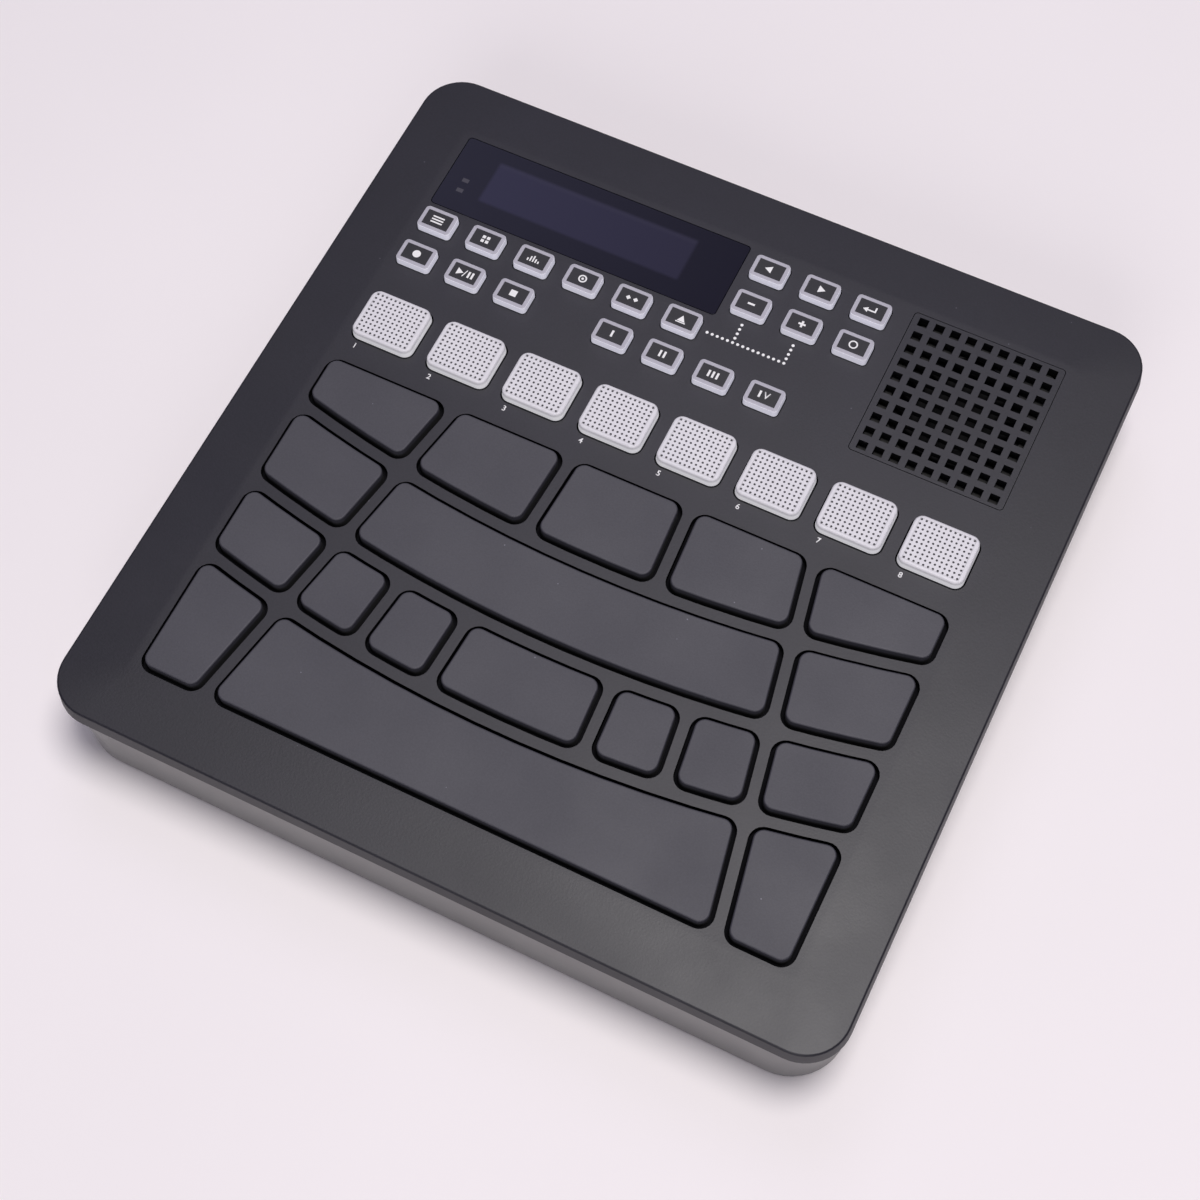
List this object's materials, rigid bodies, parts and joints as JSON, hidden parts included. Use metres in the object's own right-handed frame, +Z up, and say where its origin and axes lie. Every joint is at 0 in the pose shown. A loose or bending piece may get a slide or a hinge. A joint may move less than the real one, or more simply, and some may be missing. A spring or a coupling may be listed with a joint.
{
  "type": "finger drum pad",
  "caption": "Flat square finger drum pad with bowed rows of raised rubber pads, a row of pale function pads, small buttons, a display window and a speaker grille.",
  "frame": {"origin": "on the table under the middle of the case, at the bottom of its feet", "axes": "+X to the player's right, +Y to the back edge with the display, +Z up"},
  "size_m": [0.222, 0.222, 0.0356],
  "materials": {
    "case_top": "fine matte texture",
    "case_bottom": "satin",
    "window": "smoked gloss",
    "display": "dark display",
    "speaker": "paper cone and steel basket",
    "circuit_board": "solder mask",
    "inner_rubber": "matte",
    "battery": "shrink film",
    "feet": "matte",
    "screws": "dark zinc",
    "sockets": "moulded sockets on a board",
    "pad_rubber": "matte silicone",
    "function_pad": "pale translucent silicone, dotted",
    "button": "pale translucent cap, black face",
    "controls": "satin"
  },
  "bodies": {
    "case": {"top_case": "case_top", "bottom_case": "case_bottom", "display_window": "window", "display_module": "display", "speaker_grille": "case_top", "speaker_driver": "speaker", "panel_board": "circuit_board", "key_dome_sheet": "inner_rubber", "pad_cushion_sheet": "inner_rubber", "battery_pack": "battery", "rubber_feet": "feet", "case_screws": "screws", "rear_socket_board": "sockets"},
    "pad_back_left": {"pad_back_left": "pad_rubber"},
    "pad_back_mid_left": {"pad_back_mid_left": "pad_rubber"},
    "pad_back_centre": {"pad_back_centre": "pad_rubber"},
    "pad_back_mid_right": {"pad_back_mid_right": "pad_rubber"},
    "pad_back_right": {"pad_back_right": "pad_rubber"},
    "pad_upper_left": {"pad_upper_left": "pad_rubber"},
    "pad_upper_wide": {"pad_upper_wide": "pad_rubber"},
    "pad_upper_right": {"pad_upper_right": "pad_rubber"},
    "pad_lower_left": {"pad_lower_left": "pad_rubber"},
    "pad_small_left_outer": {"pad_small_left_outer": "pad_rubber"},
    "pad_small_left_inner": {"pad_small_left_inner": "pad_rubber"},
    "pad_lower_centre": {"pad_lower_centre": "pad_rubber"},
    "pad_small_right_inner": {"pad_small_right_inner": "pad_rubber"},
    "pad_small_right_outer": {"pad_small_right_outer": "pad_rubber"},
    "pad_lower_right": {"pad_lower_right": "pad_rubber"},
    "pad_front_left": {"pad_front_left": "pad_rubber"},
    "pad_front_wide": {"pad_front_wide": "pad_rubber"},
    "pad_front_right": {"pad_front_right": "pad_rubber"},
    "function_pad_1": {"function_pad_1": "function_pad"},
    "function_pad_2": {"function_pad_2": "function_pad"},
    "function_pad_3": {"function_pad_3": "function_pad"},
    "function_pad_4": {"function_pad_4": "function_pad"},
    "function_pad_5": {"function_pad_5": "function_pad"},
    "function_pad_6": {"function_pad_6": "function_pad"},
    "function_pad_7": {"function_pad_7": "function_pad"},
    "function_pad_8": {"function_pad_8": "function_pad"},
    "button_record": {"button_record": "button"},
    "button_play": {"button_play": "button"},
    "button_stop": {"button_stop": "button"},
    "button_bank_1": {"button_bank_1": "button"},
    "button_bank_2": {"button_bank_2": "button"},
    "button_bank_3": {"button_bank_3": "button"},
    "button_bank_4": {"button_bank_4": "button"},
    "button_mode_1": {"button_mode_1": "button"},
    "button_mode_2": {"button_mode_2": "button"},
    "button_mode_3": {"button_mode_3": "button"},
    "button_mode_4": {"button_mode_4": "button"},
    "button_mode_5": {"button_mode_5": "button"},
    "button_mode_6": {"button_mode_6": "button"},
    "button_minus": {"button_minus": "button"},
    "button_plus": {"button_plus": "button"},
    "button_confirm": {"button_confirm": "button"},
    "button_left": {"button_left": "button"},
    "button_right": {"button_right": "button"},
    "button_return": {"button_return": "button"},
    "power_button": {"power_button": "controls"},
    "volume_wheel": {"volume_wheel": "controls"}
  },
  "joints": [
    {"name": "pad_back_left_press", "type": "slide", "parent": "case", "child": "pad_back_left", "axis": [0, 0, -1], "range_m": [0, 0.0006], "stiffness_N_per_m": 500, "springref_m": -0.002, "deforming": ["pad_cushion_sheet"]},
    {"name": "pad_back_mid_left_press", "type": "slide", "parent": "case", "child": "pad_back_mid_left", "axis": [0, 0, -1], "range_m": [0, 0.0006], "stiffness_N_per_m": 500, "springref_m": -0.002, "deforming": ["pad_cushion_sheet"]},
    {"name": "pad_back_centre_press", "type": "slide", "parent": "case", "child": "pad_back_centre", "axis": [0, 0, -1], "range_m": [0, 0.0006], "stiffness_N_per_m": 500, "springref_m": -0.002, "deforming": ["pad_cushion_sheet"]},
    {"name": "pad_back_mid_right_press", "type": "slide", "parent": "case", "child": "pad_back_mid_right", "axis": [0, 0, -1], "range_m": [0, 0.0006], "stiffness_N_per_m": 500, "springref_m": -0.002, "deforming": ["pad_cushion_sheet"]},
    {"name": "pad_back_right_press", "type": "slide", "parent": "case", "child": "pad_back_right", "axis": [0, 0, -1], "range_m": [0, 0.0006], "stiffness_N_per_m": 500, "springref_m": -0.002, "deforming": ["pad_cushion_sheet"]},
    {"name": "pad_upper_left_press", "type": "slide", "parent": "case", "child": "pad_upper_left", "axis": [0, 0, -1], "range_m": [0, 0.0006], "stiffness_N_per_m": 500, "springref_m": -0.002, "deforming": ["pad_cushion_sheet"]},
    {"name": "pad_upper_wide_press", "type": "slide", "parent": "case", "child": "pad_upper_wide", "axis": [0, 0, -1], "range_m": [0, 0.0006], "stiffness_N_per_m": 500, "springref_m": -0.002, "deforming": ["pad_cushion_sheet"]},
    {"name": "pad_upper_right_press", "type": "slide", "parent": "case", "child": "pad_upper_right", "axis": [0, 0, -1], "range_m": [0, 0.0006], "stiffness_N_per_m": 500, "springref_m": -0.002, "deforming": ["pad_cushion_sheet"]},
    {"name": "pad_lower_left_press", "type": "slide", "parent": "case", "child": "pad_lower_left", "axis": [0, 0, -1], "range_m": [0, 0.0006], "stiffness_N_per_m": 500, "springref_m": -0.002, "deforming": ["pad_cushion_sheet"]},
    {"name": "pad_small_left_outer_press", "type": "slide", "parent": "case", "child": "pad_small_left_outer", "axis": [0, 0, -1], "range_m": [0, 0.0006], "stiffness_N_per_m": 500, "springref_m": -0.002, "deforming": ["pad_cushion_sheet"]},
    {"name": "pad_small_left_inner_press", "type": "slide", "parent": "case", "child": "pad_small_left_inner", "axis": [0, 0, -1], "range_m": [0, 0.0006], "stiffness_N_per_m": 500, "springref_m": -0.002, "deforming": ["pad_cushion_sheet"]},
    {"name": "pad_lower_centre_press", "type": "slide", "parent": "case", "child": "pad_lower_centre", "axis": [0, 0, -1], "range_m": [0, 0.0006], "stiffness_N_per_m": 500, "springref_m": -0.002, "deforming": ["pad_cushion_sheet"]},
    {"name": "pad_small_right_inner_press", "type": "slide", "parent": "case", "child": "pad_small_right_inner", "axis": [0, 0, -1], "range_m": [0, 0.0006], "stiffness_N_per_m": 500, "springref_m": -0.002, "deforming": ["pad_cushion_sheet"]},
    {"name": "pad_small_right_outer_press", "type": "slide", "parent": "case", "child": "pad_small_right_outer", "axis": [0, 0, -1], "range_m": [0, 0.0006], "stiffness_N_per_m": 500, "springref_m": -0.002, "deforming": ["pad_cushion_sheet"]},
    {"name": "pad_lower_right_press", "type": "slide", "parent": "case", "child": "pad_lower_right", "axis": [0, 0, -1], "range_m": [0, 0.0006], "stiffness_N_per_m": 500, "springref_m": -0.002, "deforming": ["pad_cushion_sheet"]},
    {"name": "pad_front_left_press", "type": "slide", "parent": "case", "child": "pad_front_left", "axis": [0, 0, -1], "range_m": [0, 0.0006], "stiffness_N_per_m": 500, "springref_m": -0.002, "deforming": ["pad_cushion_sheet"]},
    {"name": "pad_front_wide_press", "type": "slide", "parent": "case", "child": "pad_front_wide", "axis": [0, 0, -1], "range_m": [0, 0.0006], "stiffness_N_per_m": 500, "springref_m": -0.002, "deforming": ["pad_cushion_sheet"]},
    {"name": "pad_front_right_press", "type": "slide", "parent": "case", "child": "pad_front_right", "axis": [0, 0, -1], "range_m": [0, 0.0006], "stiffness_N_per_m": 500, "springref_m": -0.002, "deforming": ["pad_cushion_sheet"]},
    {"name": "function_pad_1_press", "type": "slide", "parent": "case", "child": "function_pad_1", "axis": [0, 0, -1], "range_m": [0, 0.0008], "stiffness_N_per_m": 500, "springref_m": -0.002, "deforming": ["key_dome_sheet"]},
    {"name": "function_pad_2_press", "type": "slide", "parent": "case", "child": "function_pad_2", "axis": [0, 0, -1], "range_m": [0, 0.0008], "stiffness_N_per_m": 500, "springref_m": -0.002, "deforming": ["key_dome_sheet"]},
    {"name": "function_pad_3_press", "type": "slide", "parent": "case", "child": "function_pad_3", "axis": [0, 0, -1], "range_m": [0, 0.0008], "stiffness_N_per_m": 500, "springref_m": -0.002, "deforming": ["key_dome_sheet"]},
    {"name": "function_pad_4_press", "type": "slide", "parent": "case", "child": "function_pad_4", "axis": [0, 0, -1], "range_m": [0, 0.0008], "stiffness_N_per_m": 500, "springref_m": -0.002, "deforming": ["key_dome_sheet"]},
    {"name": "function_pad_5_press", "type": "slide", "parent": "case", "child": "function_pad_5", "axis": [0, 0, -1], "range_m": [0, 0.0008], "stiffness_N_per_m": 500, "springref_m": -0.002, "deforming": ["key_dome_sheet"]},
    {"name": "function_pad_6_press", "type": "slide", "parent": "case", "child": "function_pad_6", "axis": [0, 0, -1], "range_m": [0, 0.0008], "stiffness_N_per_m": 500, "springref_m": -0.002, "deforming": ["key_dome_sheet"]},
    {"name": "function_pad_7_press", "type": "slide", "parent": "case", "child": "function_pad_7", "axis": [0, 0, -1], "range_m": [0, 0.0008], "stiffness_N_per_m": 500, "springref_m": -0.002, "deforming": ["key_dome_sheet"]},
    {"name": "function_pad_8_press", "type": "slide", "parent": "case", "child": "function_pad_8", "axis": [0, 0, -1], "range_m": [0, 0.0008], "stiffness_N_per_m": 500, "springref_m": -0.002, "deforming": ["key_dome_sheet"]},
    {"name": "button_record_press", "type": "slide", "parent": "case", "child": "button_record", "axis": [0, 0, -1], "range_m": [0, 0.0008], "stiffness_N_per_m": 500, "springref_m": -0.002, "deforming": ["key_dome_sheet"]},
    {"name": "button_play_press", "type": "slide", "parent": "case", "child": "button_play", "axis": [0, 0, -1], "range_m": [0, 0.0008], "stiffness_N_per_m": 500, "springref_m": -0.002, "deforming": ["key_dome_sheet"]},
    {"name": "button_stop_press", "type": "slide", "parent": "case", "child": "button_stop", "axis": [0, 0, -1], "range_m": [0, 0.0008], "stiffness_N_per_m": 500, "springref_m": -0.002, "deforming": ["key_dome_sheet"]},
    {"name": "button_bank_1_press", "type": "slide", "parent": "case", "child": "button_bank_1", "axis": [0, 0, -1], "range_m": [0, 0.0008], "stiffness_N_per_m": 500, "springref_m": -0.002, "deforming": ["key_dome_sheet"]},
    {"name": "button_bank_2_press", "type": "slide", "parent": "case", "child": "button_bank_2", "axis": [0, 0, -1], "range_m": [0, 0.0008], "stiffness_N_per_m": 500, "springref_m": -0.002, "deforming": ["key_dome_sheet"]},
    {"name": "button_bank_3_press", "type": "slide", "parent": "case", "child": "button_bank_3", "axis": [0, 0, -1], "range_m": [0, 0.0008], "stiffness_N_per_m": 500, "springref_m": -0.002, "deforming": ["key_dome_sheet"]},
    {"name": "button_bank_4_press", "type": "slide", "parent": "case", "child": "button_bank_4", "axis": [0, 0, -1], "range_m": [0, 0.0008], "stiffness_N_per_m": 500, "springref_m": -0.002, "deforming": ["key_dome_sheet"]},
    {"name": "button_mode_1_press", "type": "slide", "parent": "case", "child": "button_mode_1", "axis": [0, 0, -1], "range_m": [0, 0.0008], "stiffness_N_per_m": 500, "springref_m": -0.002, "deforming": ["key_dome_sheet"]},
    {"name": "button_mode_2_press", "type": "slide", "parent": "case", "child": "button_mode_2", "axis": [0, 0, -1], "range_m": [0, 0.0008], "stiffness_N_per_m": 500, "springref_m": -0.002, "deforming": ["key_dome_sheet"]},
    {"name": "button_mode_3_press", "type": "slide", "parent": "case", "child": "button_mode_3", "axis": [0, 0, -1], "range_m": [0, 0.0008], "stiffness_N_per_m": 500, "springref_m": -0.002, "deforming": ["key_dome_sheet"]},
    {"name": "button_mode_4_press", "type": "slide", "parent": "case", "child": "button_mode_4", "axis": [0, 0, -1], "range_m": [0, 0.0008], "stiffness_N_per_m": 500, "springref_m": -0.002, "deforming": ["key_dome_sheet"]},
    {"name": "button_mode_5_press", "type": "slide", "parent": "case", "child": "button_mode_5", "axis": [0, 0, -1], "range_m": [0, 0.0008], "stiffness_N_per_m": 500, "springref_m": -0.002, "deforming": ["key_dome_sheet"]},
    {"name": "button_mode_6_press", "type": "slide", "parent": "case", "child": "button_mode_6", "axis": [0, 0, -1], "range_m": [0, 0.0008], "stiffness_N_per_m": 500, "springref_m": -0.002, "deforming": ["key_dome_sheet"]},
    {"name": "button_minus_press", "type": "slide", "parent": "case", "child": "button_minus", "axis": [0, 0, -1], "range_m": [0, 0.0008], "stiffness_N_per_m": 500, "springref_m": -0.002, "deforming": ["key_dome_sheet"]},
    {"name": "button_plus_press", "type": "slide", "parent": "case", "child": "button_plus", "axis": [0, 0, -1], "range_m": [0, 0.0008], "stiffness_N_per_m": 500, "springref_m": -0.002, "deforming": ["key_dome_sheet"]},
    {"name": "button_confirm_press", "type": "slide", "parent": "case", "child": "button_confirm", "axis": [0, 0, -1], "range_m": [0, 0.0008], "stiffness_N_per_m": 500, "springref_m": -0.002, "deforming": ["key_dome_sheet"]},
    {"name": "button_left_press", "type": "slide", "parent": "case", "child": "button_left", "axis": [0, 0, -1], "range_m": [0, 0.0008], "stiffness_N_per_m": 500, "springref_m": -0.002, "deforming": ["key_dome_sheet"]},
    {"name": "button_right_press", "type": "slide", "parent": "case", "child": "button_right", "axis": [0, 0, -1], "range_m": [0, 0.0008], "stiffness_N_per_m": 500, "springref_m": -0.002, "deforming": ["key_dome_sheet"]},
    {"name": "button_return_press", "type": "slide", "parent": "case", "child": "button_return", "axis": [0, 0, -1], "range_m": [0, 0.0008], "stiffness_N_per_m": 500, "springref_m": -0.002, "deforming": ["key_dome_sheet"]},
    {"name": "power_button_press", "type": "slide", "parent": "case", "child": "power_button", "axis": [0, -1, 0], "range_m": [0, 0.001], "stiffness_N_per_m": 500, "springref_m": -0.002},
    {"name": "volume_wheel_turn", "type": "hinge", "parent": "case", "child": "volume_wheel", "pos_m": [0.046, 0.1026, 0.015], "axis": [0, 0, 1], "range_deg": [-140, 140]}
  ]
}
